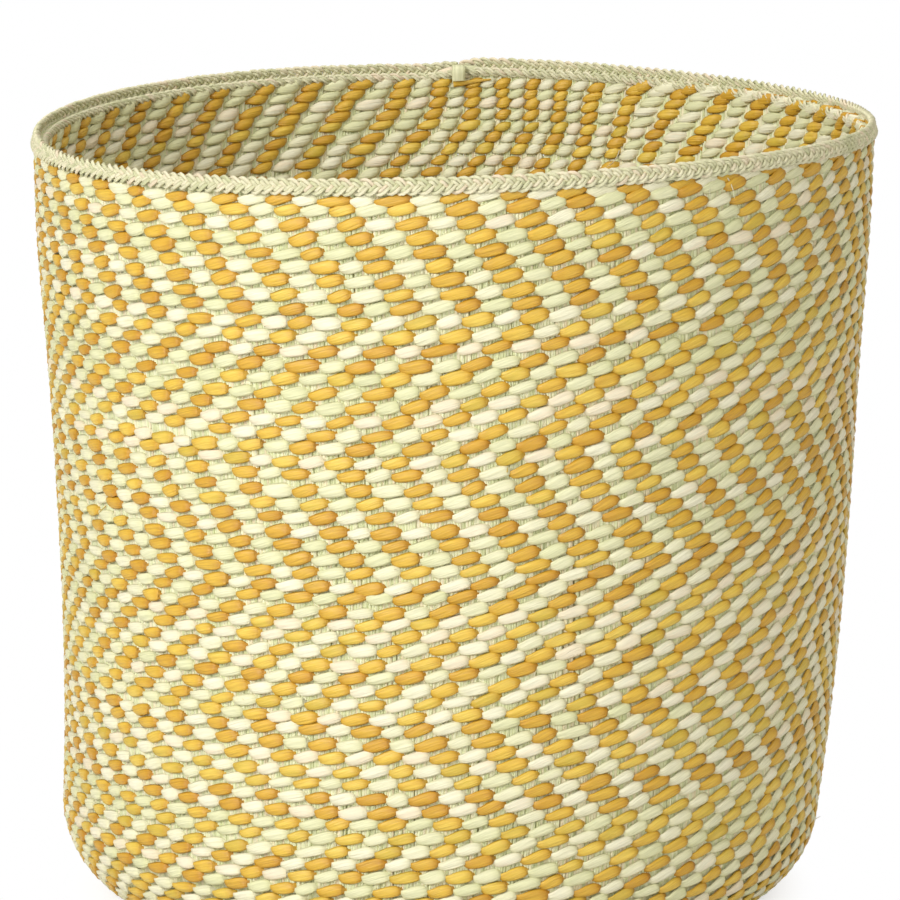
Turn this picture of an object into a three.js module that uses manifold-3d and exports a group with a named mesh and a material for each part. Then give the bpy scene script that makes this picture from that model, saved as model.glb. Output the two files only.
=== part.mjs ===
// A round twined reed basket, open at the top, with a plaited rim and no handles.
// Millimetres, +Z up, origin at the centre of the flat underside, front towards -Y.
// Flat reed stakes run out from the centre of the base, bend up and stand in the wall.
// Two reed strands are twined round them, one outside and one inside each stake, so every
// stretch of weft is a ring with a socket for each stake bundle. The weft is divided
// where the weaver changes the pattern, and the rim is plaited on top of the last round.
import * as THREE from 'three';
import { mergeVertices } from 'three/addons/utils/BufferGeometryUtils.js';
import Module from 'manifold-3d';

const wasm = await Module();
wasm.setup();

// Overall sizes
const rimRadius = 149.3;
const rimHeight = 280.1;
const footRadius = 103.5;
const cornerRadius = 33.5;
const wallThickness = 6.4;

// Stakes: bundles of flat reeds that lie between the two strands of the weft
const stakeCount = 24;
const stakeThickness = 1.6;
const stakeSpan = THREE.MathUtils.degToRad(7);
const stakeTipRadius = 13;

// Weft of the base, from the start disc to the round that turns it up into the wall
const startDiscRadius = 22;
const baseWeftSplit = 66;
const turningRoundLength = 7;

// Weft of the wall: rounds in each pattern zone, from the corner up to the rim. The lowest
// zone starts in the corner, so only its last rounds lie in the wall.
const zoneRounds = [3.5, 9, 10, 9, 10, 10];

// Rim: a flat plait outside, a twisted cord beside it inside, and a tie where it was closed
const plaitHeight = 6.2;
const plaitThickness = 3.3;
const cordHeight = 3.8;
const cordThickness = 3.4;
const wallSetback = 0.4;
const rimGap = 0.1;
const tieWidth = 5;
const tieThickness = 0.8;
const tieLeg = 9;
const tieOffset = 1.8;

// How the hand-made rim departs from level: it tilts up to the back right, and its saddle is
// high at the back left and the front right
const rimTilt = 1.8;
const tiltTowards = THREE.MathUtils.degToRad(43);
const rimSaddle = 1.9;
const saddleLow = THREE.MathUtils.degToRad(27);
const spiralStep = 2.6;

// How the wall departs from a cone: its top lies off centre to +X, most of the bow to +X is
// low down, and it swells a little under the rim
const wallDrift = 4.9;
const wallBow = 18.5;
const wallBowFade = 17.7;
const wallSwell = 1;
const swellAt = 0.84;
const swellSpread = 0.13;

const clearance = 0.3;
const facets = 48;
const arcSteps = 5;

const reedColours = {
  gold: { color: 0xd9a13a, roughness: 0.62 },
  pale: { color: 0xe9e5c8, roughness: 0.66 },
  stake: { color: 0xcfd3ac, roughness: 0.7 },
  rim: { color: 0xdfe0bf, roughness: 0.68 },
};

function reed(kind) {
  return new THREE.MeshStandardMaterial({ ...reedColours[kind], metalness: 0 });
}

// Profile of the outer surface, measured along it from the centre of the underside:
// flat foot, round corner, then a straight wall that leans out to the rim.
const plaitBottom = rimHeight - plaitHeight;
const wallTop = { r: rimRadius - wallSetback, z: plaitBottom - clearance };
const toTop = { r: wallTop.r - footRadius, z: wallTop.z - cornerRadius };
const reach = Math.hypot(toTop.r, toTop.z);
const wallLean = Math.acos(cornerRadius / reach) - Math.atan2(toTop.z, toTop.r);
const arcSweep = Math.PI / 2 - wallLean;
const arcEnd = footRadius + cornerRadius * arcSweep;
const wallEnd = arcEnd + Math.sqrt(reach ** 2 - cornerRadius ** 2);

function surfacePoint(along, inset) {
  if (along <= footRadius) return new THREE.Vector2(along, inset);
  const turn = Math.min((along - footRadius) / cornerRadius, arcSweep);
  const outward = new THREE.Vector2(Math.sin(turn), -Math.cos(turn));
  const point = new THREE.Vector2(footRadius, cornerRadius);
  point.addScaledVector(outward, cornerRadius - inset);
  const up = Math.max(along - arcEnd, 0);
  return point.add(new THREE.Vector2(-outward.y, outward.x).multiplyScalar(up));
}

// How far along the profile the straight wall reaches a given height
function alongAtHeight(height, inset) {
  const start = cornerRadius - (cornerRadius - inset) * Math.cos(arcSweep);
  return arcEnd + (height - start) / Math.sin(arcSweep);
}

// The wall leans, so its end rises towards the inside. Where it would come nearer to the
// rim than rimGap, it is trimmed level. extra raises the cut for the sockets of the stakes.
function trimmedPoint(along, inset, extra = 0) {
  const level = plaitBottom - rimGap + extra;
  return surfacePoint(Math.min(along, alongAtHeight(level, inset)), inset);
}

// Where the weft is divided, and where the rings and the stakes bend round the corner
const zoneEnds = [];
const totalRounds = zoneRounds.reduce((sum, rounds) => sum + rounds, 0);
const roundHeight = (wallEnd - arcEnd) / totalRounds;
for (const rounds of zoneRounds) {
  zoneEnds.push((zoneEnds.at(-1) ?? arcEnd) + rounds * roundHeight);
}
const turningEnd = footRadius + turningRoundLength;
const arcStations = Array.from({ length: arcSteps - 1 }, (_, i) =>
  turningEnd + ((arcEnd - turningEnd) * (i + 1)) / (arcSteps - 1));
const bends = [footRadius, turningEnd, ...arcStations];

// A mesh with position as its only attribute, closed by joining the points that coincide
function closed(geometry) {
  geometry.deleteAttribute('normal');
  geometry.deleteAttribute('uv');
  return mergeVertices(geometry, 1e-4);
}

// A closed mesh as a solid that can be cut, and back again
function toSolid(geometry) {
  return new wasm.Manifold(new wasm.Mesh({
    numProp: 3,
    vertProperties: new Float32Array(geometry.attributes.position.array),
    triVerts: new Uint32Array(geometry.index.array),
  }));
}

function toGeometry(solid) {
  const mesh = solid.getMesh();
  const geometry = new THREE.BufferGeometry();
  geometry.setAttribute('position', new THREE.BufferAttribute(mesh.vertProperties, 3));
  geometry.setIndex(new THREE.BufferAttribute(mesh.triVerts, 1));
  return geometry;
}

// Turns a closed outline of (radius, height) points once round the Z axis. A flat of the
// many-sided ring is centred on each stake and on the middle of the back.
function turn(outline) {
  const start = Math.PI / facets;
  const ring = new THREE.LatheGeometry([...outline, outline[0]], facets, start, 2 * Math.PI);
  return closed(ring.rotateX(Math.PI / 2));
}

const flatShare = Math.cos(Math.PI / facets);

// One stake bundle lies along +X: an L-shaped strip as thin as one reed, which widens
// with its distance from the centre. It has corners where the weft is divided as well, so
// that it bows with the weft. extra makes the larger copy that cuts its socket.
function stakeStrip(extra) {
  const halfThickness = stakeThickness / 2 + extra;
  const halfWidth = Math.tan(stakeSpan / 2);
  const route = [stakeTipRadius - extra, ...bends, ...zoneEnds.slice(0, -1), wallEnd + extra];
  const section = [[-1, -1], [1, -1], [1, 1], [-1, 1]];
  const points = [];
  for (const along of route) {
    for (const [side, inwards] of section) {
      const point = trimmedPoint(along, wallThickness / 2 + inwards * halfThickness, extra);
      points.push(point.x * flatShare, side * (point.x * halfWidth + extra), point.y);
    }
  }
  const last = 4 * (route.length - 1);
  const faces = [0, 3, 2, 0, 2, 1, last, last + 1, last + 2, last, last + 2, last + 3];
  for (let start = 0; start < last; start += 4) {
    for (let i = 0; i < 4; i += 1) {
      const from = start + i;
      const to = start + ((i + 1) % 4);
      faces.push(from, to, to + 4, from, to + 4, from + 4);
    }
  }
  const strip = new THREE.BufferGeometry();
  strip.setAttribute('position', new THREE.Float32BufferAttribute(points, 3));
  strip.setIndex(faces);
  return strip;
}

const stakeAngles = Array.from({ length: stakeCount }, (_, i) => (360 * i) / stakeCount);
const socketSolid = toSolid(stakeStrip(clearance));
const sockets = stakeAngles.map((degrees) => socketSolid.rotate([0, 0, degrees]))
  .reduce((all, one) => all.add(one));

// A ring of weft between two places on the profile, half a clearance short of each
function weftRing(from, to) {
  const start = from + clearance / 2;
  const end = to - clearance / 2;
  const route = [start, ...bends.filter((along) => along > start && along < end), end];
  const outline = route.map((along) => trimmedPoint(along, 0));
  outline.push(...route.reverse().map((along) => trimmedPoint(along, wallThickness)));
  return toGeometry(toSolid(turn(outline)).subtract(sockets));
}

// The disc at the centre, where the stakes cross and the first rounds grip them
function startDisc() {
  const edge = startDiscRadius - clearance / 2;
  const outline = [[0, 0], [edge, 0], [edge, wallThickness], [0, wallThickness]];
  const points = outline.map(([r, z]) => new THREE.Vector2(r, z));
  const disc = new THREE.LatheGeometry(points, facets, Math.PI / facets, 2 * Math.PI);
  return toGeometry(toSolid(closed(disc.rotateX(Math.PI / 2))).subtract(sockets));
}

// A plait or cord with rounded edges that lies on the top of the wall
function rimRing(outerRadius, thickness, height) {
  const edge = thickness / 4;
  const inside = outerRadius - thickness;
  const top = plaitBottom + height;
  const outline = [
    [inside + edge, plaitBottom], [outerRadius - edge, plaitBottom],
    [outerRadius, plaitBottom + edge], [outerRadius, top - edge],
    [outerRadius - edge, top], [inside + edge, top],
    [inside, top - edge], [inside, plaitBottom + edge],
  ];
  return turn(outline.map(([r, z]) => new THREE.Vector2(r, z)));
}

const cordRadius = rimRadius - plaitThickness - clearance;

// A flat reed strip folded down over the plait and the cord at the back of the rim
function rimTie() {
  const outside = rimRadius * flatShare + clearance;
  const wallInside = wallTop.r - wallThickness;
  const cordInside = cordRadius - cordThickness;
  const crown = rimHeight + clearance;
  const foot = crown - tieLeg;
  const wallAtFoot = surfacePoint(alongAtHeight(foot, wallThickness), wallThickness).x;
  const inside = Math.min(wallInside, cordInside) * flatShare - clearance;
  const insideFoot = Math.min(inside, wallAtFoot * flatShare - clearance / 2);
  const outline = [
    [outside, foot], [outside + tieThickness, foot],
    [outside + tieThickness, crown + tieThickness], [inside - tieThickness, crown + tieThickness],
    [insideFoot - tieThickness, foot], [insideFoot, foot], [inside, crown], [outside, crown],
  ];
  const shape = new THREE.Shape(outline.map(([r, z]) => new THREE.Vector2(r, z)));
  const strip = new THREE.ExtrudeGeometry(shape, { depth: tieWidth, bevelEnabled: false });
  strip.translate(0, 0, tieOffset - tieWidth / 2);
  strip.rotateX(Math.PI / 2);
  strip.rotateZ(Math.PI / 2);
  return closed(strip);
}

// Moves a point from the true cone to the hand-made shape: the rim tilts and saddles, the
// spiral of the weft climbs one step from the tie round to it, and the wall bows and swells.
// All of it grows from nothing at the top of the corner, so the foot stays flat.
function handMade(x, y, z) {
  const share = Math.max(z - cornerRadius, 0) / (rimHeight - cornerRadius);
  const angle = Math.atan2(y, x);
  const flat = (2 * Math.PI) / facets;
  const fromTie = THREE.MathUtils.euclideanModulo(angle - Math.PI / 2 - flat / 2, 2 * Math.PI);
  const climbed = Math.min(fromTie / (2 * Math.PI - flat), (2 * Math.PI - fromTie) / flat);
  const tilt = rimTilt * Math.cos(angle - tiltTowards);
  const saddle = rimSaddle * Math.cos(2 * (angle - saddleLow));
  const lift = tilt - saddle + spiralStep * (climbed - 0.5);
  const bow = share * (1 - share) * (wallBow - wallBowFade * share);
  const swell = wallSwell * Math.exp(-(((share - swellAt) / swellSpread) ** 2));
  const wider = 1 + swell / rimRadius;
  return [x * wider + wallDrift * share + bow, y * wider, z + lift * share];
}

const basket = new THREE.Group();

function addPiece(name, geometry, kind) {
  const position = geometry.attributes.position;
  for (let i = 0; i < position.count; i += 1) {
    position.setXYZ(i, ...handMade(position.getX(i), position.getY(i), position.getZ(i)));
  }
  const mesh = new THREE.Mesh(geometry, reed(kind));
  mesh.name = name;
  basket.add(mesh);
}

addPiece('start_disc', startDisc(), 'pale');
addPiece('base_weft_inner', weftRing(startDiscRadius, baseWeftSplit), 'pale');
addPiece('base_weft_outer', weftRing(baseWeftSplit, footRadius), 'pale');
addPiece('turning_round', weftRing(footRadius, turningEnd), 'pale');
addPiece('corner_weft', weftRing(turningEnd, arcEnd), 'gold');

let zoneStart = arcEnd;
for (const [i, zoneEnd] of zoneEnds.entries()) {
  addPiece(`wall_weft_${i + 1}`, weftRing(zoneStart, zoneEnd), i % 2 ? 'pale' : 'gold');
  zoneStart = zoneEnd;
}

for (const [i, degrees] of stakeAngles.entries()) {
  const name = `stake_bundle_${String(i + 1).padStart(2, '0')}`;
  addPiece(name, stakeStrip(0).rotateZ(THREE.MathUtils.degToRad(degrees)), 'stake');
}

addPiece('rim_plait', rimRing(rimRadius, plaitThickness, plaitHeight), 'rim');
addPiece('rim_cord', rimRing(cordRadius, cordThickness, cordHeight), 'rim');
addPiece('rim_tie', rimTie(), 'pale');

export default basket;
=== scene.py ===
import math
import bpy
import numpy as np
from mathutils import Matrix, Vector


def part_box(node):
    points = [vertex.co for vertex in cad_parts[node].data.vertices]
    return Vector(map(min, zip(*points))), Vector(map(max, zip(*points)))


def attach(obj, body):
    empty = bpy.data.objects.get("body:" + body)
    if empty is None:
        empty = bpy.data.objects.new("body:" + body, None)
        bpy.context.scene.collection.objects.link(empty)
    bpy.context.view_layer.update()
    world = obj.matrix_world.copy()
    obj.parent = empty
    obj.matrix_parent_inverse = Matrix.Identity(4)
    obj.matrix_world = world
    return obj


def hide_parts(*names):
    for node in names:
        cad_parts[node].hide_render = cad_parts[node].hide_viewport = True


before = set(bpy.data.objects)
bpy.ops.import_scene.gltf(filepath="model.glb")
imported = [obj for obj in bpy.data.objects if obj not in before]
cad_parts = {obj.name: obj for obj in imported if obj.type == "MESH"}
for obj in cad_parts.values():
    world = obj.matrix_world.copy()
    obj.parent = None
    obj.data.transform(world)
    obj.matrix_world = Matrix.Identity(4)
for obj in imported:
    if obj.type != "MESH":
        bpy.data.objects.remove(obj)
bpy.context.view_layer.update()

# Stakes
# The warp: 960 fine flat reeds, left in their natural pale green. They run out from the
# centre of the base, bend up at the corner and stand in the wall, gripped by the twined weft.
mm = 0.001

# The shape of the wall, which every reed follows. It is that of the frame's nodes.
rim_radius = 149.3 * mm
rim_height = 280.1 * mm
foot_radius = 103.5 * mm
corner_radius = 33.5 * mm
wall_setback = 0.4 * mm
clearance = 0.3 * mm
plait_height = 6.2 * mm
rim_tilt = 1.8 * mm
tilt_towards = math.radians(43)
rim_saddle = 1.9 * mm
saddle_low = math.radians(27)
spiral_step = 2.6 * mm
step_width = math.radians(7.5)
seam_azimuth = math.pi / 2
wall_drift = 4.9 * mm
wall_bow = 18.5 * mm
wall_bow_fade = 17.7 * mm
wall_swell = 1 * mm
swell_at = 0.84
swell_spread = 0.13

plait_bottom = rim_height - plait_height
wall_top_radius = rim_radius - wall_setback
wall_top_height = plait_bottom - clearance
reach = math.hypot(wall_top_radius - foot_radius, wall_top_height - corner_radius)
wall_lean = math.acos(corner_radius / reach) - math.atan2(
    wall_top_height - corner_radius, wall_top_radius - foot_radius)
corner_sweep = math.pi / 2 - wall_lean
corner_end = foot_radius + corner_radius * corner_sweep
wall_end = corner_end + math.sqrt(reach ** 2 - corner_radius ** 2)


def climbed(azimuth):
    """The share of the rim's spiral step that is climbed from the tie round to a place."""
    from_tie = np.mod(azimuth - seam_azimuth - step_width / 2, 2 * np.pi)
    return np.minimum(from_tie / (2 * np.pi - step_width), (2 * np.pi - from_tie) / step_width)


def hand_made(radius, height, azimuth):
    """Moves a point of the true cone to the woven shape, as the frame's nodes have it."""
    share = np.maximum(height - corner_radius, 0) / (rim_height - corner_radius)
    tilt = rim_tilt * np.cos(azimuth - tilt_towards)
    saddle = rim_saddle * np.cos(2 * (azimuth - saddle_low))
    lift = tilt - saddle + spiral_step * (climbed(azimuth) - 0.5)
    bow = share * (1 - share) * (wall_bow - wall_bow_fade * share)
    swell = wall_swell * np.exp(-((share - swell_at) / swell_spread) ** 2)
    wider = radius * (1 + swell / rim_radius)
    x = wider * np.cos(azimuth) + wall_drift * share + bow
    return np.stack([x, wider * np.sin(azimuth), height + lift * share], axis=-1)


def basket_point(along, inset, azimuth):
    """A place in the wall: along its outer profile from the centre of the base, and inset from it."""
    turn = np.clip((along - foot_radius) / corner_radius, 0, corner_sweep)
    up = np.maximum(along - corner_end, 0)
    bend = corner_radius - inset
    radius = np.minimum(along, foot_radius) + bend * np.sin(turn) + up * np.cos(turn)
    height = corner_radius - bend * np.cos(turn) + up * np.sin(turn)
    return hand_made(radius, height, azimuth)


def unit(vectors):
    return vectors / np.linalg.norm(vectors, axis=-1, keepdims=True)


def facing_out(along, inset, azimuth):
    """The direction out of the wall at a place."""
    step = 0.1 * mm
    return unit(basket_point(along, inset - step, azimuth) - basket_point(along, inset + step, azimuth))


def facing_up(along, inset, azimuth):
    """The direction up the wall, away from the centre of the base, at a place."""
    step = 0.1 * mm
    return unit(basket_point(along + step, inset, azimuth) - basket_point(along - step, inset, azimuth))


def square_to(facing, points):
    """Turns the facing of a path square to the path, so that a flat reed bends with it."""
    tangent = unit(np.gradient(points, axis=0))
    return unit(facing - tangent * np.sum(facing * tangent, axis=-1, keepdims=True))


def reed_tree():
    """Sweeps an oval section along lines, as wide and as thick as their points say."""
    tree = bpy.data.node_groups.new("reed along its path", "GeometryNodeTree")
    tree.interface.new_socket("Paths", in_out="INPUT", socket_type="NodeSocketGeometry")
    tree.interface.new_socket("Sides", in_out="INPUT", socket_type="NodeSocketInt")
    tree.interface.new_socket("Finish", in_out="INPUT", socket_type="NodeSocketMaterial")
    tree.interface.new_socket("Reeds", in_out="OUTPUT", socket_type="NodeSocketGeometry")
    nodes = tree.nodes
    link = tree.links.new
    given = nodes.new("NodeGroupInput")

    def attribute(name, kind):
        node = nodes.new("GeometryNodeInputNamedAttribute")
        node.data_type = kind
        node.inputs["Name"].default_value = name
        return node.outputs["Attribute"]

    def store(geometry, name, kind, value):
        node = nodes.new("GeometryNodeStoreNamedAttribute")
        node.data_type = kind
        node.domain = "POINT"
        node.inputs["Name"].default_value = name
        link(geometry, node.inputs["Geometry"])
        link(value, node.inputs["Value"])
        return node.outputs["Geometry"]

    def vector(operation, first, second, result="Vector"):
        node = nodes.new("ShaderNodeVectorMath")
        node.operation = operation
        link(first, node.inputs[0])
        slot = node.inputs["Scale"] if operation == "SCALE" else node.inputs[1]
        link(second, slot)
        return node.outputs[result]

    def divide(first, second):
        node = nodes.new("ShaderNodeMath")
        node.operation = "DIVIDE"
        link(first, node.inputs[0])
        link(second, node.inputs[1])
        return node.outputs["Value"]

    curves = nodes.new("GeometryNodeMeshToCurve")
    link(given.outputs["Paths"], curves.inputs["Mesh"])
    turned = nodes.new("GeometryNodeSetCurveNormal")
    turned.mode = "FREE"
    link(curves.outputs["Curve"], turned.inputs["Curve"])
    link(attribute("facing", "FLOAT_VECTOR"), turned.inputs["Normal"])
    centred = store(turned.outputs["Curve"], "centre", "FLOAT_VECTOR",
                    nodes.new("GeometryNodeInputPosition").outputs["Position"])
    tangent = nodes.new("GeometryNodeInputTangent").outputs["Tangent"]
    side = vector("CROSS_PRODUCT", tangent, attribute("facing", "FLOAT_VECTOR"))
    with_side = store(centred, "side", "FLOAT_VECTOR", side)
    section = nodes.new("GeometryNodeCurvePrimitiveCircle")
    section.inputs["Radius"].default_value = 1
    link(given.outputs["Sides"], section.inputs["Resolution"])
    swept = nodes.new("GeometryNodeCurveToMesh")
    swept.inputs["Fill Caps"].default_value = True
    link(with_side, swept.inputs["Curve"])
    link(section.outputs["Curve"], swept.inputs["Profile Curve"])
    link(attribute("half_width", "FLOAT"), swept.inputs["Scale"])

    position = nodes.new("GeometryNodeInputPosition").outputs["Position"]
    from_centre = vector("SUBTRACT", position, attribute("centre", "FLOAT_VECTOR"))
    proud = vector("DOT_PRODUCT", from_centre, attribute("facing", "FLOAT_VECTOR"), "Value")
    aside = vector("DOT_PRODUCT", from_centre, attribute("side", "FLOAT_VECTOR"), "Value")
    across = store(swept.outputs["Mesh"], "across", "FLOAT",
                   divide(aside, attribute("half_width", "FLOAT")))
    flatness = nodes.new("ShaderNodeMath")
    flatness.operation = "SUBTRACT"
    flatness.inputs[1].default_value = 1
    link(divide(attribute("half_thickness", "FLOAT"), attribute("half_width", "FLOAT")),
         flatness.inputs[0])
    pressed = nodes.new("ShaderNodeMath")
    pressed.operation = "MULTIPLY"
    link(proud, pressed.inputs[0])
    link(flatness.outputs["Value"], pressed.inputs[1])
    flat = nodes.new("GeometryNodeSetPosition")
    link(across, flat.inputs["Geometry"])
    link(vector("SCALE", attribute("facing", "FLOAT_VECTOR"), pressed.outputs["Value"]),
         flat.inputs["Offset"])

    geometry = flat.outputs["Geometry"]
    for name in ("centre", "side", "facing", "half_width", "half_thickness"):
        removed = nodes.new("GeometryNodeRemoveAttribute")
        removed.inputs["Name"].default_value = name
        link(geometry, removed.inputs["Geometry"])
        geometry = removed.outputs["Geometry"]
    smooth = nodes.new("GeometryNodeSetShadeSmooth")
    link(geometry, smooth.inputs["Geometry"])
    realized = nodes.new("GeometryNodeRealizeInstances")
    link(smooth.outputs["Geometry"], realized.inputs["Geometry"])
    finished = nodes.new("GeometryNodeSetMaterial")
    link(realized.outputs["Geometry"], finished.inputs["Geometry"])
    link(given.outputs["Finish"], finished.inputs["Material"])
    result = nodes.new("NodeGroupOutput")
    link(finished.outputs["Geometry"], result.inputs["Reeds"])
    return tree


along_its_path = reed_tree()


def reed_piece(name, reeds, finish, sides=8):
    """Makes one piece of reeds, each given by its points and by values along them."""
    mesh = bpy.data.meshes.new(name)
    starts = np.cumsum([0] + [len(reed["points"]) for reed in reeds])
    mesh.vertices.add(starts[-1])
    mesh.vertices.foreach_set("co", np.concatenate([reed["points"] for reed in reeds]).ravel())
    edges = np.concatenate([np.arange(first, last - 1) for first, last in zip(starts[:-1], starts[1:])])
    mesh.edges.add(len(edges))
    mesh.edges.foreach_set("vertices", np.stack([edges, edges + 1], axis=-1).ravel())
    facing = mesh.attributes.new("facing", "FLOAT_VECTOR", "POINT")
    facing.data.foreach_set("vector", np.concatenate([reed["facing"] for reed in reeds]).ravel())
    for value in ("half_width", "half_thickness", "tone", "run", "crown"):
        column = [np.broadcast_to(reed[value], len(reed["points"])) for reed in reeds]
        mesh.attributes.new(value, "FLOAT", "POINT").data.foreach_set("value", np.concatenate(column))

    piece = bpy.data.objects.new(name, mesh)
    bpy.context.collection.objects.link(piece)
    sweep = piece.modifiers.new("sweep", "NODES")
    sweep.node_group = along_its_path
    for socket in along_its_path.interface.items_tree:
        if socket.name == "Sides":
            sweep[socket.identifier] = sides
        if socket.name == "Finish":
            sweep[socket.identifier] = finish
    depsgraph = bpy.context.evaluated_depsgraph_get()
    made = bpy.data.meshes.new_from_object(piece.evaluated_get(depsgraph))
    piece.modifiers.remove(sweep)
    piece.data = made
    bpy.data.meshes.remove(mesh)
    made.name = name
    return piece


def run_along(points):
    """How far each point of a path lies from its start."""
    steps = np.linalg.norm(np.diff(points, axis=0), axis=-1)
    return np.concatenate([[0], np.cumsum(steps)])


def linear(red, green, blue):
    """A colour as it looks on a screen, 0 to 255, for a shader."""
    shares = np.array([red, green, blue]) / 255
    values = np.where(shares <= 0.04045, shares / 12.92, ((shares + 0.055) / 1.055) ** 2.4)
    return (*values.tolist(), 1)


# The grain of split reed: noise scales across it and along it, and how fine the noise goes.
band_grain = (0.8, 70.0, 1.0)
crease_grain = (1.7, 60.0, 1.0)
fibre_grain = (5.2, 100.0, 3.0)
noise_middle = 0.5
grain_in_tone = 0.5
tone_step = 37.0
# How the ends and edges of a stitch are darkened: partly the reed's own deeper tint there, partly
# painted shade where it dives into the wall and meets its neighbours.
end_power = 1.3
edge_power = 5.0
edge_share = 0.65
fibre_weight = 0.72
crease_weight = 0.28
grain_low = 0.38
grain_high = 0.58
darkest_line = 0.85
lightest_line = 0.99
fold_strength = 0.7
fibre_strength = 0.8
fibre_depth = 0.4 * mm


def reed_finish(name, tones, end_tint_and_shade, end_share, roughness, crease_depth, shine=0.45):
    """Split reed: its own tone, with bands, creases and fine fibres along it, and with its ends and
    edges darkened, partly in its own deeper tint and partly as painted shade.
    """
    material = bpy.data.materials.new(name)
    material.use_nodes = True
    nodes = material.node_tree.nodes
    link = material.node_tree.links.new
    shader = nodes["Principled BSDF"]
    shader.inputs["Roughness"].default_value = roughness
    shader.inputs["Specular IOR Level"].default_value = shine

    def attribute(attribute_name):
        node = nodes.new("ShaderNodeAttribute")
        node.attribute_name = attribute_name
        return node.outputs["Fac"]

    def math_node(operation, first, second, third=0.0, clamp=False):
        node = nodes.new("ShaderNodeMath")
        node.operation = operation
        node.use_clamp = clamp
        for socket, value in zip(node.inputs, (first, second, third)):
            if isinstance(value, (int, float)):
                socket.default_value = value
            else:
                link(value, socket)
        return node.outputs["Value"]

    def noise(across_scale, run_scale, detail):
        place = nodes.new("ShaderNodeCombineXYZ")
        link(math_node("MULTIPLY", across, across_scale), place.inputs["X"])
        link(math_node("MULTIPLY", run, run_scale), place.inputs["Y"])
        link(math_node("MULTIPLY", tone, tone_step), place.inputs["Z"])
        node = nodes.new("ShaderNodeTexNoise")
        node.inputs["Scale"].default_value = 1
        node.inputs["Detail"].default_value = detail
        link(place.outputs["Vector"], node.inputs["Vector"])
        return node.outputs["Fac"]

    def mix(blend, share, first, second):
        node = nodes.new("ShaderNodeMix")
        node.data_type = "RGBA"
        node.blend_type = blend
        for socket, value in ((node.inputs["Factor"], share), (node.inputs["A"], first),
                              (node.inputs["B"], second)):
            if isinstance(value, (int, float, tuple)):
                socket.default_value = value
            else:
                link(value, socket)
        return node.outputs["Result"]

    tone = attribute("tone")
    across = attribute("across")
    run = attribute("run")
    bands = noise(*band_grain)
    creases = noise(*crease_grain)
    fibres = noise(*fibre_grain)
    ramp = nodes.new("ShaderNodeValToRGB")
    stops = ramp.color_ramp.elements
    for index, (place, colour) in enumerate(tones):
        stop = stops[index] if index < 2 else stops.new(place)
        stop.position = place
        stop.color = linear(*colour)
    from_bands = math_node("SUBTRACT", bands, noise_middle)
    from_fibres = math_node("SUBTRACT", fibres, noise_middle)
    banded = math_node("MULTIPLY_ADD", from_bands, grain_in_tone, tone)
    banded = math_node("MULTIPLY_ADD", from_fibres, grain_in_tone, banded, clamp=True)
    link(banded, ramp.inputs["Fac"])
    # The ends of a stitch, where the strand dives through the wall, and its edges are darkened towards
    # the end colour. This is partly the reed's own deeper ochre and partly painted shade in the
    # crossings and between neighbouring stitches.
    end = math_node("SUBTRACT", 1.0, math_node("ABSOLUTE", attribute("crown"), 0.0))
    edge = math_node("POWER", math_node("ABSOLUTE", across, 0.0), edge_power)
    dive_tint_and_shade = math_node("MAXIMUM", math_node("POWER", end, end_power),
                     math_node("MULTIPLY", edge, edge_share))
    dive_tint_and_shade = math_node("MULTIPLY", dive_tint_and_shade, end_share)
    body = mix("MULTIPLY", dive_tint_and_shade, ramp.outputs["Color"], linear(*end_tint_and_shade))
    lines = math_node("ADD", math_node("MULTIPLY", fibres, fibre_weight),
                      math_node("MULTIPLY", creases, crease_weight))
    light_and_dark = nodes.new("ShaderNodeMapRange")
    light_and_dark.inputs["From Min"].default_value = grain_low
    light_and_dark.inputs["From Max"].default_value = grain_high
    light_and_dark.inputs["To Min"].default_value = darkest_line
    light_and_dark.inputs["To Max"].default_value = lightest_line
    link(lines, light_and_dark.inputs["Value"])
    grey = nodes.new("ShaderNodeCombineColor")
    for channel in ("Red", "Green", "Blue"):
        link(light_and_dark.outputs["Result"], grey.inputs[channel])
    link(mix("MULTIPLY", 1.0, body, grey.outputs["Color"]), shader.inputs["Base Color"])
    folds = nodes.new("ShaderNodeBump")
    folds.inputs["Strength"].default_value = fold_strength
    folds.inputs["Distance"].default_value = crease_depth
    link(creases, folds.inputs["Height"])
    bump = nodes.new("ShaderNodeBump")
    bump.inputs["Strength"].default_value = fibre_strength
    bump.inputs["Distance"].default_value = fibre_depth
    link(fibres, bump.inputs["Height"])
    link(folds.outputs["Normal"], bump.inputs["Normal"])
    link(bump.outputs["Normal"], shader.inputs["Normal"])
    return material


stake_reed = reed_finish(
    "stake_reed",
    tones=[(0.0, (222, 226, 176)), (0.35, (232, 236, 192)),
           (0.7, (244, 243, 208)), (1.0, (244, 232, 198))],
    end_tint_and_shade=(255, 255, 255), end_share=0.0, roughness=0.62, crease_depth=0.2 * mm)

reed_count = 960
stake_bundle_count = 24
stake_inset = 2.6 * mm
stake_half_thickness = 1.35 * mm
stake_overlap = 1.35
stake_lean = math.radians(4.5)
stake_tip = 2.5 * mm
stake_wander = 0.0012
stake_inset_spread = 0.08 * mm
before_corner = 3 * mm
into_corner = 4 * mm
above_corner = 24 * mm
narrowest_radius = 125 * mm
narrowest_reed = 0.6
widest_reed = 1.4
# Every eighth reed starts nearest to the centre of the base, and the others are added further out.
added_at = {8: 13 * mm, 4: 24 * mm, 2: 48 * mm, 1: 94 * mm}
chance = np.random.default_rng(11)
reed_shares = chance.uniform(narrowest_reed, widest_reed, reed_count)
reed_edges = np.concatenate([[0], np.cumsum(reed_shares)]) * 2 * np.pi / reed_shares.sum()
reed_middles = (reed_edges[:-1] + reed_edges[1:]) / 2
reed_spans = np.diff(reed_edges)


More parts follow.
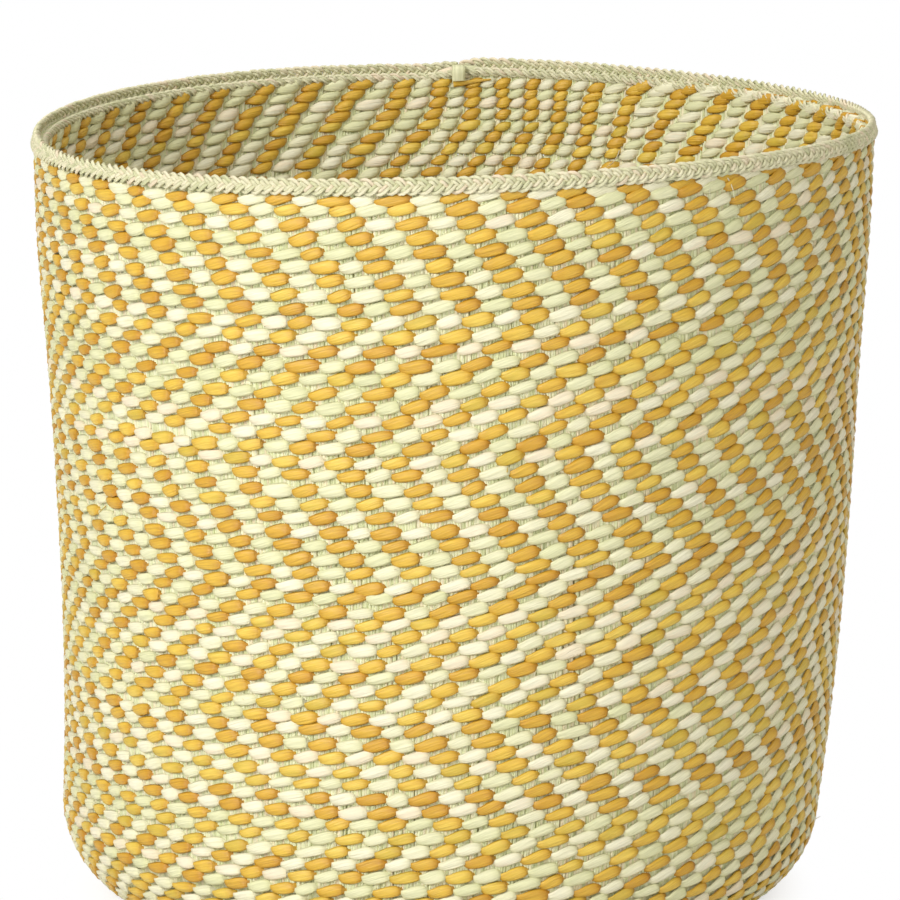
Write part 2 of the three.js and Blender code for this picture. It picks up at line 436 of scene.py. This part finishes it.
def stake(index):
    """One reed of the warp, from where it was added in the base up to the rim."""
    start = next(added_at[step] for step in added_at if index % step == 0)
    along = np.concatenate([np.linspace(start, foot_radius - before_corner, 3),
                            np.linspace(foot_radius + into_corner, corner_end, 5),
                            np.linspace(corner_end + above_corner, wall_end + stake_tip, 8)])
    up = np.clip((along - corner_end) / (wall_end - corner_end), 0, 1)
    azimuth = reed_middles[index] + stake_lean * (0.5 - up)
    azimuth = azimuth + chance.normal(0, stake_wander, len(along))
    inset = stake_inset + chance.normal(0, stake_inset_spread, len(along))
    points = basket_point(along, inset, azimuth)
    radius = np.hypot(points[:, 0], points[:, 1])
    return {
        "points": points, "facing": facing_out(along, inset, azimuth),
        "half_width": np.maximum(radius, narrowest_radius) * reed_spans[index] / 2 * stake_overlap,
        "half_thickness": stake_half_thickness, "tone": chance.uniform(0, 1),
        "run": run_along(points) + chance.uniform(0, 1), "crown": 1.0,
    }


nearest_bundle = np.round(reed_middles / (2 * np.pi) * stake_bundle_count).astype(int)
bundle_of_reed = nearest_bundle % stake_bundle_count
for bundle in range(stake_bundle_count):
    reeds = [stake(index) for index in np.flatnonzero(bundle_of_reed == bundle)]
    piece = reed_piece(f"stake_reeds_{bundle + 1:02d}", reeds, stake_reed, sides=6)
    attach(piece, "root")
    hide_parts(f"stake_bundle_{bundle + 1:02d}")

# Crossed reeds
# The first twelve stakes: flat reeds laid over and under each other at the centre of the base,
# six each way, before the first rounds of the weft grip them.
crossed_reeds = 6
crossed_spacing = 2.4 * mm
crossed_reach = 24 * mm
crossed_shoulder = 12 * mm
crossed_wave = 0.55 * mm
crossed_half_width = 1.1 * mm
crossed_half_thickness = 0.5 * mm


def crossed_reed(number, turned):
    """One of the crossed reeds, over and under those that lie the other way."""
    places = (np.arange(crossed_reeds) - (crossed_reeds - 1) / 2) * crossed_spacing
    along = np.concatenate([[-crossed_reach, -crossed_shoulder], places,
                            [crossed_shoulder, crossed_reach]])
    over = np.where((np.arange(crossed_reeds) + number + turned) % 2 == 0, 1, -1) * crossed_wave
    height = stake_inset + np.concatenate([[0, 0], over, [0, 0]])
    aside = np.full(len(along), places[number])
    points = np.stack([aside, along, height] if turned else [along, aside, height], axis=-1)
    return {
        "points": points, "facing": np.broadcast_to([0.0, 0.0, -1.0], points.shape),
        "half_width": crossed_half_width, "half_thickness": crossed_half_thickness,
        "tone": chance.uniform(0, 1),
        "run": run_along(points) + chance.uniform(0, 1), "crown": 1.0,
    }


piece = reed_piece("crossed_reeds", [crossed_reed(number, turned) for number in range(crossed_reeds)
                                     for turned in (0, 1)], stake_reed)
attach(piece, "root")
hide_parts("start_disc")

# Path of the weft
# Two flat reed strands are twined round the stakes in one long spiral, 83 rounds from the
# centre to the rim. At each half twist the strands change places, one outside and one inside.
wall_rounds = 51.5
rounds = 83
round_height = (wall_end - corner_end) / wall_rounds
top_tuck = 2.1 * mm
stitches_round = 93 + 1 / 3
turning_along = foot_radius + 7 * mm
first_along = 9 * mm
seam_rounds = (0, 5, 11)
seam_spreads = (50 / 360, 50 / 360, 95 / 360)
seam_befores = (6 / 360, 14 / 360, 12 / 360)
seam_extra = 5
zone_rounds = (10, 10, 9, 10, 9)
first_full_round = 22
rim_stitch = 0.46
grid_steps_round = 1440
weft_chance = np.random.default_rng(5)

# Five more stitches are squeezed in at the back in every round of the wall, closer together
# towards the rim. A round in a "/" zone takes a sixth one, which swaps the colours and so turns
# the lines of the pattern.
zone_ends = [rounds - sum(zone_rounds[:count]) for count in range(1, 6)]
swapped = [*range(zone_ends[1], zone_ends[0]), *range(zone_ends[3], zone_ends[2]),
           *range(first_full_round, zone_ends[4])]

first_turn = rounds - (wall_end + top_tuck - first_along) / round_height
grid = np.arange(first_turn, rounds, 1 / grid_steps_round)
grid_along = wall_end + top_tuck - round_height * (rounds - grid)
rate = stitches_round * np.minimum(grid_along / turning_along, 1)
for crossing in range(first_full_round, rounds):
    seam_before = np.interp(rounds - 1 - crossing, seam_rounds, seam_befores)
    seam_spread = np.interp(rounds - 1 - crossing, seam_rounds, seam_spreads)
    place = grid - (crossing + 1 - seam_before)
    near = np.abs(place) < seam_spread / 2
    extra = seam_extra + (crossing in swapped)
    rate[near] += extra * (1 + np.cos(2 * np.pi * place[near] / seam_spread)) / seam_spread
stitch_at = np.concatenate([[0], np.cumsum((rate[1:] + rate[:-1]) / 2 * np.diff(grid))])

# The hand does not keep exact time: how far the stitches run ahead of or behind the even count,
# and how far the rounds are beaten up or down, at some rounds below the rim. The rounds also rise
# to the right and sag at the front and the back, most in the lower half of the wall.
lag_rounds = (0, 8, 20, 33, 38, 41, 44.5, 49)
lags = (-0.17, 0.0, 0.15, 0.15, 0.0, -0.2, -0.64, -1.15)
beat_rounds = (0, 1.2, 6, 14, 21, 27, 32, 40, 48)
beats = np.array((1.6, -0.7, -0.7, 0.5, 0.7, 1.4, 0.1, -0.1, 0.6)) * mm
row_tilt = 1.0 * mm
row_tilt_low = 5.4 * mm
row_tilt_low_at = 0.78
row_arch = 3.9 * mm
row_arch_at = 0.6
row_bend_spread = 0.45
stitch_at = stitch_at + np.mod(rim_stitch - stitch_at[-1], 2)
stitch_at = stitch_at + np.interp(rounds - grid, lag_rounds, lags)

# At the front right of the lower rounds, the stitches are a little longer.
slack_at = 235 / 360
slack_spread = 120 / 360
slack_rounds = (22, 27)
slack_stitches = 0.8
slack = slack_stitches * np.interp(rounds - grid, slack_rounds, (0, 1))
from_slack = np.clip(np.mod(grid - slack_at + 0.5, 1) - 0.5, -slack_spread / 2, slack_spread / 2)
stitch_at = stitch_at - slack * (1 + np.cos(2 * np.pi * from_slack / slack_spread)) / 2
stitch_total = int(stitch_at[-1]) + 2
shortest_splice = 4
longest_splice = 60
thinnest_splice = 0.93
thickest_splice = 1.09
tone_spread = 0.12
girth_spread = 0.055
slope_spread = 0.15
shift_spread = 0.06
rise_spread = 0.18 * mm
wander_spread = 0.28 * mm
wander_count = 4000


def splice_lengths(source):
    """How many stitches each reed lasts before the next one is spliced in."""
    lengths = source.integers(shortest_splice, longest_splice, stitch_total)
    return lengths[:int(np.searchsorted(np.cumsum(lengths), stitch_total)) + 1]


def spliced(lengths, values):
    """One value for each stitch, the same for all the stitches of a reed."""
    return np.repeat(values, lengths)[:stitch_total]


strand_tone = []
strand_girth = []
for strand in range(2):
    lengths = splice_lengths(weft_chance)
    tones = spliced(lengths, weft_chance.uniform(0, 1, len(lengths)))
    strand_tone.append(np.clip(tones + weft_chance.normal(0, tone_spread, stitch_total), 0, 1))
    girths = spliced(lengths, weft_chance.uniform(thinnest_splice, thickest_splice, len(lengths)))
    strand_girth.append(girths * weft_chance.normal(1, girth_spread, stitch_total))
strand_tilt = weft_chance.normal(1, slope_spread, (2, stitch_total))
crossing_at = np.arange(stitch_total) + 0.5
crossing_shift = weft_chance.normal(0, shift_spread, stitch_total)
crossing_rise = weft_chance.normal(0, rise_spread, stitch_total)
row_wander = weft_chance.normal(0, wander_spread, wander_count)
wander_places = 23
even_rings = np.array([0, 0.22, 0.36, 0.45, 0.55, 0.64, 0.78])
ring_gap = 0.04

# The rounds are pressed closer together at the back below the rim, tucked in under the plait,
# and kept a little higher in the base, where they rest on the floor.
back_press = 0.13
back_press_depth = 90 * mm
tuck_run = 1.2 * mm
tuck_depth = 0.6 * mm
base_lift = 0.25 * mm
base_lift_fade = 8 * mm

# The form of a stitch: its slope from one crossing to the next, how steeply the strand goes
# through the wall between the two faces, and its width and thickness on each face.
slope_evenness = 0.93
slope_side = 0.3
slope_rise = 0.88 * mm
slope_rise_outside = 0.2 * mm
crossing_steepness = 3.4
crossing_lag = 0.22
outside_longer = (0.12, 0.05)
strand_inset = 2.7 * mm
strand_swing = 1.98 * mm
crossing_roll = 0.35
outer_roundness = 0.6
inner_roundness = 0.8
outer_end_width = 2.75 * mm
outer_lead_width = 0.3 * mm
outer_middle_width = 1.4 * mm
inner_end_width = 1.9 * mm
inner_middle_width = 2.3 * mm
strand_thickness = 1.5 * mm
outer_thinner = 0.15 * mm
inner_thicker = 0.5 * mm
strand_run_apart = 3.1


def weft_strand(strand, from_turn, to_turn):
    """One strand of the pair between two places on the spiral."""
    ends = np.interp([from_turn, to_turn], grid, stitch_at)
    stitches = (np.arange(int(ends[0]) - 1, int(ends[1]) + 2)[:, None] + even_rings).ravel()
    within = (stitches > ends[0] + ring_gap) & (stitches < ends[1] - ring_gap)
    stitches = np.concatenate([ends[:1], stitches[within], ends[1:]])
    turns = np.interp(stitches + np.interp(stitches, crossing_at, crossing_shift), stitch_at, grid)
    phase = np.pi * (stitches - strand)
    crown = np.cos(phase)
    stitch = np.clip(np.round(stitches), 0, stitch_total - 1).astype(int)

    azimuth = seam_azimuth + 2 * np.pi * turns
    depth = round_height * (rounds - turns)
    press = back_press * ((1 + np.sin(azimuth)) / 2) ** 2 * np.exp(-(depth / back_press_depth) ** 2)
    along = wall_end + top_tuck - depth * (1 - press)
    share = np.clip((along - corner_end) / (wall_end - corner_end), 0, 1)
    along = along - spiral_step * share * (climbed(azimuth) - 0.5)
    lowness = depth / (wall_end - corner_end)
    tilt = row_tilt + row_tilt_low * np.exp(-((lowness - row_tilt_low_at) / row_bend_spread) ** 2)
    arch = row_arch * np.exp(-((lowness - row_arch_at) / row_bend_spread) ** 2)
    along = along + tilt * np.cos(azimuth) + arch * np.cos(azimuth) ** 2
    along = along - np.interp(rounds - turns, beat_rounds, beats)
    slope = np.arcsin(slope_evenness * np.sin(phase)) / math.asin(slope_evenness)
    slope = slope * (1 + slope_side * np.cos(azimuth))
    along = along + (slope_rise + slope_rise_outside * crown) * slope * strand_tilt[strand][stitch]
    along = along + np.interp(stitches, crossing_at, crossing_rise)
    along = along + np.interp(turns * wander_places, np.arange(len(row_wander)), row_wander)
    swing = np.cos(phase - crossing_lag) + outside_longer[strand]
    outward = np.tanh(crossing_steepness * swing) / math.tanh(crossing_steepness)
    inset = strand_inset - strand_swing * outward
    under_rim = np.clip((along - wall_end) / tuck_run + 1, 0, 1)
    inset = inset + tuck_depth * np.clip(outward, 0, 1) * under_rim
    inset = inset + base_lift * np.clip((foot_radius - along) / base_lift_fade + 1, 0, 1)
    points = basket_point(along, inset, azimuth)

    roll = (crossing_roll * np.sin(phase))[:, None]
    facing = facing_out(along, inset, azimuth) * np.cos(roll)
    facing = facing + facing_up(along, inset, azimuth) * np.sin(roll)
    outer = np.clip(crown, 0, 1) ** outer_roundness
    inner = np.clip(-crown, 0, 1) ** inner_roundness
    outer_width = outer_end_width + outer_lead_width * np.sin(phase) + outer_middle_width * outer
    inner_width = inner_end_width + inner_middle_width * inner
    width = np.where(crown > 0, outer_width, inner_width) * strand_girth[strand][stitch]
    thickness = strand_thickness - outer_thinner * outer + inner_thicker * inner
    return {
        "points": points, "facing": square_to(facing, points),
        "half_width": width / 2, "half_thickness": thickness / 2,
        "tone": strand_tone[strand][stitch],
        "run": run_along(points) + strand_run_apart * strand, "crown": crown,
    }


pale_reed = reed_finish(
    "pale_reed",
    tones=[(0.0, (217, 218, 175)), (0.3, (225, 224, 187)), (0.55, (230, 227, 196)),
           (0.8, (234, 231, 206)), (1.0, (233, 221, 194))],
    end_tint_and_shade=(226, 224, 186), end_share=0.4, roughness=0.55, crease_depth=0.5 * mm, shine=0.35)
gold_reed = reed_finish(
    "gold_reed",
    tones=[(0.0, (204, 156, 42)), (0.35, (212, 170, 54)), (0.65, (220, 182, 64)),
           (0.88, (226, 196, 84)), (1.0, (206, 178, 64))],
    end_tint_and_shade=(226, 200, 120), end_share=0.9, roughness=0.42, crease_depth=0.5 * mm, shine=0.6)

# Weft of the base
# Plain natural rounds from the crossed centre out to the turning round. Both strands are
# pale here: the gold reed is spliced in only where the corner begins.
start_reach = 22 * mm
inner_reach = 66 * mm
start_gap = 0.01


def turn_at(along):
    """The place on the spiral of the weft that lies this far along the outer profile."""
    return rounds - (wall_end + top_tuck - along) / round_height


turning_start = turn_at(foot_radius)
corner_start = turn_at(turning_along)
wall_start = rounds - wall_rounds
base_parts = (("start_disc", first_turn + start_gap, turn_at(start_reach)),
              ("base_weft_inner", turn_at(start_reach), turn_at(inner_reach)),
              ("base_weft_outer", turn_at(inner_reach), turning_start),
              ("turning_round", turning_start, corner_start))
for node, start, stop in base_parts:
    for strand, letter in enumerate("ab"):
        reed = weft_strand(strand, start, stop)
        piece = reed_piece(f"{node}_strand_{letter}", [reed], pale_reed, sides=6)
        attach(piece, "root")
        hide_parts(node)

# Weft of the corner and the wall
# One gold strand and one natural strand. Their colours fall into slanting lines, which turn
# at each new zone into a zig-zag round the basket.
top_gap = 0.08
zone_starts = [wall_start, *reversed(zone_ends)]
last_turn = rounds - top_gap
zone_stops = [*reversed(zone_ends), last_turn]
wall_parts = [("corner_weft", corner_start, wall_start)]
for number, (start, stop) in enumerate(zip(zone_starts, zone_stops), start=1):
    wall_parts.append((f"wall_weft_{number}", start, stop))
for node, start, stop in wall_parts:
    for strand, (colour, finish) in enumerate((("gold", gold_reed), ("pale", pale_reed))):
        reed = weft_strand(strand, start, stop)
        piece = reed_piece(f"{node}_{colour}_strand", [reed], finish)
        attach(piece, "root")
        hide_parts(node)

# Rim plait
# A flat plait of three strands, each of two fine natural reeds, sewn on edge round the
# outside of the rim. It leans in a little, so its chevrons show from outside and from above.
rim_reed = reed_finish(
    "rim_reed",
    tones=[(0.0, (203, 204, 162)), (0.35, (216, 214, 177)),
           (0.7, (230, 225, 193)), (1.0, (230, 214, 186))],
    end_tint_and_shade=(255, 255, 255), end_share=0.0, roughness=0.55, crease_depth=0.2 * mm)
rim_chance = np.random.default_rng(8)
tie_aside = 1.8 * mm
tie_azimuth = seam_azimuth - tie_aside / rim_radius
half_tie_angle = 0.004
rim_tone_knots = 90
rim_tone_spread = 0.3
rim_reed_half_thickness = 0.55 * mm
plait_lobes = 256
plait_rise = 1.95 * mm
plait_hollow = 0.06
plait_depth = 0.85 * mm
plait_inset = 1.1 * mm
plait_lift = 0.35 * mm
plait_radius = rim_radius - plait_inset
plait_middle = plait_bottom + plait_height / 2 + plait_lift
plait_lean = math.radians(14)
plait_reeds = (-0.6 * mm, 0.6 * mm)
plait_reed_half_width = 0.64 * mm
plait_phase_spread = 0.08
plait_size_spread = 0.06
plait_steps_lobe = 12


def wavering(count, size, steps):
    """A value near 0 that changes smoothly along the rim."""
    knots = rim_chance.normal(0, size, count)
    return np.interp(np.linspace(0, count - 1, steps), np.arange(count), knots)


def rim_strand(azimuth, radius, height, out, up, aside, half_width, half_thickness, lean):
    """A reed that follows a line on the rim, beside the middle of its strand by aside."""
    climb = np.gradient(up) / np.gradient(radius * azimuth)
    slant = np.sqrt(1 + climb ** 2)
    azimuth = azimuth - aside * climb / slant / radius
    up = up + aside / slant
    away = out * math.cos(lean) - up * math.sin(lean)
    rise = out * math.sin(lean) + up * math.cos(lean)
    points = hand_made(radius + away, height + rise, azimuth)
    step = 0.1 * mm
    beyond_radius = radius + away + step * math.cos(lean)
    beyond_height = height + rise + step * math.sin(lean)
    beyond = hand_made(beyond_radius, beyond_height, azimuth)
    tone = np.clip(0.5 + wavering(rim_tone_knots, rim_tone_spread, len(points)), 0, 1)
    return {
        "points": points, "facing": square_to(beyond - points, points),
        "half_width": half_width, "half_thickness": half_thickness, "tone": tone,
        "run": run_along(points) + rim_chance.uniform(0, 1), "crown": 1.0,
    }


plait_steps = plait_lobes // 3 * plait_steps_lobe
plait_turn = np.linspace(half_tie_angle, 2 * np.pi - half_tie_angle, plait_steps)
plait_azimuth = tie_azimuth + plait_turn
from_tie = rim_radius * np.minimum(plait_azimuth - tie_azimuth, tie_azimuth + 2 * np.pi - plait_azimuth)
pinch = 0.45
pinch_reach = 3.2 * mm
plait = []
for strand in range(3):
    phase = plait_azimuth * plait_lobes / 3 + strand * 2 * np.pi / 3
    phase = phase + wavering(plait_lobes, plait_phase_spread, plait_steps)
    size = 1 + wavering(plait_lobes, plait_size_spread, plait_steps)
    pinched = size * (1 - pinch * np.exp(-(from_tie / pinch_reach) ** 2))
    out = -plait_depth * np.sin(2 * phase)
    up = plait_rise * pinched * (np.sin(phase) + plait_hollow * np.cos(2 * phase))
    for aside in plait_reeds:
        plait.append(rim_strand(
            plait_azimuth, plait_radius, plait_middle, out, up, aside,
            plait_reed_half_width, rim_reed_half_thickness, plait_lean))
piece = reed_piece("rim_plait_strands", plait, rim_reed, sides=6)
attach(piece, "root")
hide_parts("rim_plait")

# Rim cord
# A two-strand twisted cord that lies inside the plait on top of the wall, and covers the
# trimmed ends of the stakes.
cord_radius = 144.9 * mm
cord_lift = 1.2 * mm
cord_height = plait_bottom + cord_lift
cord_twists = 128
twist_radius = 0.95 * mm
cord_reeds = (-0.45 * mm, 0.45 * mm)
cord_reed_half_width = 0.6 * mm
cord_phase_spread = 0.2
cord_steps_twist = 10
cord_steps = cord_twists * cord_steps_twist
cord_turn = np.linspace(half_tie_angle, 2 * np.pi - half_tie_angle, cord_steps)
cord_azimuth = tie_azimuth + cord_turn
cord = []
for strand in range(2):
    phase = -cord_azimuth * cord_twists + strand * np.pi
    phase = phase + wavering(cord_twists, cord_phase_spread, cord_steps)
    for aside in cord_reeds:
        cord.append(rim_strand(
            cord_azimuth, cord_radius, cord_height, twist_radius * np.cos(phase),
            twist_radius * np.sin(phase), aside, cord_reed_half_width, rim_reed_half_thickness, 0.0))
piece = reed_piece("rim_cord_strands", cord, rim_reed, sides=6)
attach(piece, "root")
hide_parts("rim_cord")

# Rim tie
# One flat natural reed folded over the rim at the back, where the plait and the cord were
# closed. Its ends are tucked down beside the wall.
tie_low, tie_high = (np.array(corner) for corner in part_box("rim_tie"))
tie_x = (tie_low[0] + tie_high[0]) / 2
tie_half = (tie_high[0] - tie_low[0]) / 2
tie_bend = 1.2 * mm
tie_half_thickness = 0.4 * mm
tie_sink = 3 * mm
tie_leg = 5.6 * mm
tie_tone = 0.2
tie_top = tie_high[2] - tie_sink
tie_foot = tie_top - tie_leg

# From the foot of the outer leg over the top to the foot of the inner leg: the place in Y and Z,
# and the way the reed faces in Y and Z.
tie_rows = np.array([
    [tie_high[1] - 0.5 * mm, tie_foot, 1, 0],
    [tie_high[1] - 0.4 * mm, tie_top - tie_bend - 2 * mm, 1, 0],
    [tie_high[1] - 0.5 * mm, tie_top - tie_bend, 1, 0.4],
    [tie_high[1] - tie_bend, tie_top - 0.5 * mm, 0.4, 1],
    [(tie_low[1] + tie_high[1]) / 2, tie_top - 0.45 * mm, 0, 1],
    [tie_low[1] + tie_bend, tie_top - 0.5 * mm, -0.4, 1],
    [tie_low[1] + 0.5 * mm, tie_top - tie_bend, -1, 0.4],
    [tie_low[1] + 0.4 * mm, tie_top - tie_bend - 2 * mm, -1, 0],
    [tie_low[1] + 0.7 * mm, tie_foot, -1, 0],
])
tie_points = np.stack([np.full(len(tie_rows), tie_x), tie_rows[:, 0], tie_rows[:, 1]], axis=-1)
tie_facing = unit(np.stack([np.zeros(len(tie_rows)), tie_rows[:, 2], tie_rows[:, 3]], axis=-1))
piece = reed_piece("rim_tie_strip", [{
    "points": tie_points, "facing": tie_facing,
    "half_width": tie_half, "half_thickness": tie_half_thickness,
    "tone": tie_tone, "run": run_along(tie_points), "crown": 1.0,
}], pale_reed, sides=10)
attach(piece, "root")
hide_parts("rim_tie")

# Tails of the plait
# The two ends of the plait, smooth flat reeds that leave it on each side of the tie and lie
# along the inside of the rim.
tail_radius = 145.3 * mm
tail_outward = 0.9 * mm
tail_lift = 3.3 * mm
tail_taper = 0.6
tail_half_thickness = 0.4 * mm
tail_points = 7


def plait_tail(span, drop, half_width, tone):
    """A flat end that runs from under the tie along the rim and sinks in between its strands."""
    part = np.linspace(0, 1, tail_points)
    azimuth = tie_azimuth + span * part / rim_radius
    radius = tail_radius + tail_outward * part ** 3
    height = plait_bottom + tail_lift - drop * part
    points = hand_made(radius, height, azimuth)
    facing = hand_made(radius - 0.1 * mm, height + 0.05 * mm, azimuth) - points
    return {
        "points": points, "facing": square_to(facing, points),
        "half_width": half_width * (1 - tail_taper * part ** 3),
        "half_thickness": tail_half_thickness,
        "tone": tone, "run": run_along(points), "crown": 1.0,
    }


piece = reed_piece("rim_plait_tails", [plait_tail(8 * mm, 0.6 * mm, 1.4 * mm, 0.9),
                                       plait_tail(-11 * mm, 1.6 * mm, 1.5 * mm, 0.1)], rim_reed)
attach(piece, "root")
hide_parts("rim_plait")

# Loose ends
# Fine fibres and cut ends that stand out of the weave: the larger ones where they stand in the
# photograph, the rest here and there.
fibre_chance = np.random.default_rng(21)
outside_inset = 0.9 * mm
inside_inset = 4.6 * mm
end_points = 7
end_lift_power = 1.5
end_taper = 0.7
end_root_thickness = 0.7
end_tip_thinner = 0.5
end_tones = (0.2, 0.9)
scattered_ends = 44
scattered_below = (6, 225)
scattered_length = (2, 6)
scattered_heading = 45
scattered_curl = 60
scattered_lift = (0.6, 1.8)
scattered_half_width = (0.14, 0.3)


def loose_end(azimuth, below_rim, length, heading, curl, lift, half_width, inset=outside_inset):
    """A fibre that springs from the wall: it heads off, curls and lifts. Angles are in degrees."""
    part = np.linspace(0, 1, end_points)
    turned = np.radians(heading + curl * part)
    step = length / (len(part) - 1)
    along = wall_end - below_rim + step * np.cumsum(np.sin(turned))
    around = math.radians(azimuth) + step * np.cumsum(np.cos(turned)) / rim_radius
    away = lift * part ** end_lift_power
    points = basket_point(along, inset - away if inset < stake_inset else inset + away, around)
    facing = facing_out(along, inset, around)
    return {
        "points": points, "facing": square_to(facing, points),
        "half_width": half_width * (1 - end_taper * part),
        "half_thickness": half_width * (end_root_thickness - end_tip_thinner * part),
        "tone": fibre_chance.uniform(*end_tones), "run": run_along(points) + fibre_chance.uniform(0, 1),
        "crown": 1.0,
    }


pale_ends = [
    loose_end(-53, -2 * mm, 9 * mm, -35, -60, 2.4 * mm, 0.3 * mm),
    loose_end(-54, -2 * mm, 8 * mm, -130, 40, 1.8 * mm, 0.28 * mm),
    loose_end(-56, -3 * mm, 3 * mm, 110, 20, 1.6 * mm, 0.4 * mm),
    loose_end(-50, 56 * mm, 4 * mm, -30, 30, 1.8 * mm, 0.35 * mm),
    loose_end(-2, 252 * mm, 4 * mm, 20, 40, 3.2 * mm, 0.4 * mm),
    loose_end(106, 22 * mm, 7 * mm, -70, -20, 1.6 * mm, 0.25 * mm, inside_inset),
    loose_end(64, 24 * mm, 8 * mm, -85, 50, 1.8 * mm, 0.22 * mm, inside_inset),
]
gold_ends = [
    loose_end(-84, 96 * mm, 4.5 * mm, 10, 90, 1.6 * mm, 0.4 * mm),
    loose_end(91, 2.2 * mm, 15 * mm, 182, -10, 0.5 * mm, 1.3 * mm, 5.4 * mm),
]
for number in range(scattered_ends):
    azimuth = fibre_chance.uniform(0, 360)
    below = fibre_chance.uniform(*scattered_below) * mm
    length = fibre_chance.uniform(*scattered_length) * mm
    heading = fibre_chance.normal(0, scattered_heading) + 180 * fibre_chance.integers(0, 2)
    curl = fibre_chance.normal(0, scattered_curl)
    lift = fibre_chance.uniform(*scattered_lift) * mm
    half_width = fibre_chance.uniform(*scattered_half_width) * mm
    inset = inside_inset if number % 3 == 0 else outside_inset
    ends = gold_ends if number % 4 == 1 else pale_ends
    ends.append(loose_end(azimuth, below, length, heading, curl, lift, half_width, inset))
wall_nodes = [f"wall_weft_{number}" for number in range(1, 7)]
piece = reed_piece("loose_pale_ends", pale_ends, pale_reed, sides=6)
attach(piece, "root")
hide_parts(*wall_nodes)
piece = reed_piece("loose_gold_ends", gold_ends, gold_reed, sides=6)
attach(piece, "root")
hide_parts(*wall_nodes)

# Floor
# A wide white studio floor. Close to the basket it takes the soft shadow, and further out it
# goes over into the plain white of the background.
floor_half = 8000 * mm
floor_white = 0.8
floor_glow = 0.45
fade_start = 105 * mm
fade_end = 138 * mm
floor_corners = [(-floor_half, -floor_half, 0), (floor_half, -floor_half, 0),
                 (floor_half, floor_half, 0), (-floor_half, floor_half, 0)]
floor_mesh = bpy.data.meshes.new("floor")
floor_mesh.from_pydata(floor_corners, [], [(0, 1, 2, 3)])
floor = bpy.data.objects.new("floor", floor_mesh)
bpy.context.collection.objects.link(floor)
floor_material = bpy.data.materials.new("studio_floor")
floor_material.use_nodes = True
floor_nodes = floor_material.node_tree.nodes
floor_link = floor_material.node_tree.links.new
floor_nodes.clear()
floor_out = floor_nodes.new("ShaderNodeOutputMaterial")
matte = floor_nodes.new("ShaderNodeBsdfDiffuse")
matte.inputs["Color"].default_value = (floor_white, floor_white, floor_white, 1)
white = floor_nodes.new("ShaderNodeEmission")
white.inputs["Strength"].default_value = 1
glow = floor_nodes.new("ShaderNodeEmission")
glow.inputs["Strength"].default_value = floor_glow
lit = floor_nodes.new("ShaderNodeAddShader")
place = floor_nodes.new("ShaderNodeTexCoord")
distance = floor_nodes.new("ShaderNodeVectorMath")
distance.operation = "LENGTH"
fade = floor_nodes.new("ShaderNodeMapRange")
fade.interpolation_type = "SMOOTHSTEP"
fade.inputs["From Min"].default_value = fade_start
fade.inputs["From Max"].default_value = fade_end
rays = floor_nodes.new("ShaderNodeLightPath")
near_or_far = floor_nodes.new("ShaderNodeMixShader")
seen_or_not = floor_nodes.new("ShaderNodeMixShader")
floor_link(place.outputs["Object"], distance.inputs[0])
floor_link(distance.outputs["Value"], fade.inputs["Value"])
floor_link(fade.outputs["Result"], near_or_far.inputs["Fac"])
floor_link(matte.outputs["BSDF"], lit.inputs[0])
floor_link(glow.outputs["Emission"], lit.inputs[1])
floor_link(lit.outputs["Shader"], near_or_far.inputs[1])
floor_link(white.outputs["Emission"], near_or_far.inputs[2])
floor_link(rays.outputs["Is Camera Ray"], seen_or_not.inputs["Fac"])
floor_link(matte.outputs["BSDF"], seen_or_not.inputs[1])
floor_link(near_or_far.outputs["Shader"], seen_or_not.inputs[2])
floor_link(seen_or_not.outputs["Shader"], floor_out.inputs["Surface"])
floor_mesh.materials.append(floor_material)

# Light
# A large soft box at the front left, weak ones at the front right and above, and an even,
# slightly warm room.
room_colour = (1, 0.935, 0.79, 1)
room_strength = 0.49
lamps_aim = (0, 0, 0.14)
world = bpy.data.worlds.new("studio")
bpy.context.scene.world = world
world.use_nodes = True
world_nodes = world.node_tree.nodes
world_link = world.node_tree.links.new
world_nodes.clear()
world_out = world_nodes.new("ShaderNodeOutputWorld")
room = world_nodes.new("ShaderNodeBackground")
room.inputs["Color"].default_value = room_colour
room.inputs["Strength"].default_value = room_strength
backdrop = world_nodes.new("ShaderNodeBackground")
backdrop.inputs["Color"].default_value = (1, 1, 1, 1)
world_rays = world_nodes.new("ShaderNodeLightPath")
world_mix = world_nodes.new("ShaderNodeMixShader")
world_link(world_rays.outputs["Is Camera Ray"], world_mix.inputs["Fac"])
world_link(room.outputs["Background"], world_mix.inputs[1])
world_link(backdrop.outputs["Background"], world_mix.inputs[2])
world_link(world_mix.outputs["Shader"], world_out.inputs["Surface"])


def soft_box(name, place, size, watts):
    """A square area lamp that faces the middle of the basket."""
    lamp = bpy.data.lights.new(name, "AREA")
    lamp.size = size
    lamp.energy = watts
    box = bpy.data.objects.new(name, lamp)
    toward = np.array(lamps_aim) - np.array(place)
    box.location = place
    box.rotation_euler = (math.atan2(math.hypot(toward[0], toward[1]), -toward[2]), 0,
                          math.atan2(toward[1], toward[0]) - math.pi / 2)
    bpy.context.collection.objects.link(box)


soft_box("key_light", (-1.4, -1.59, 1.3), 1.4, 45)
soft_box("front_light", (0.55, -2.0, 1.25), 0.7, 12)
soft_box("top_light", (0.2, 0.3, 1.8), 1.0, 7)

# Camera
# It stands 1.95 m in front of the basket and looks down a little over the rim, with a long
# lens, as the photograph was taken.
camera_place = (3.4 * mm, -1950 * mm, 537.1 * mm)
camera_dip = 0.19114
camera_data = bpy.data.cameras.new("camera")
camera_data.sensor_width = 36
camera_data.lens = 221.06
camera_data.clip_end = 30
camera = bpy.data.objects.new("camera", camera_data)
camera.location = camera_place
camera.rotation_euler = (math.pi / 2 - camera_dip, 0, 0)
bpy.context.collection.objects.link(camera)
bpy.context.scene.camera = camera
bpy.context.scene.view_settings.view_transform = "Standard"
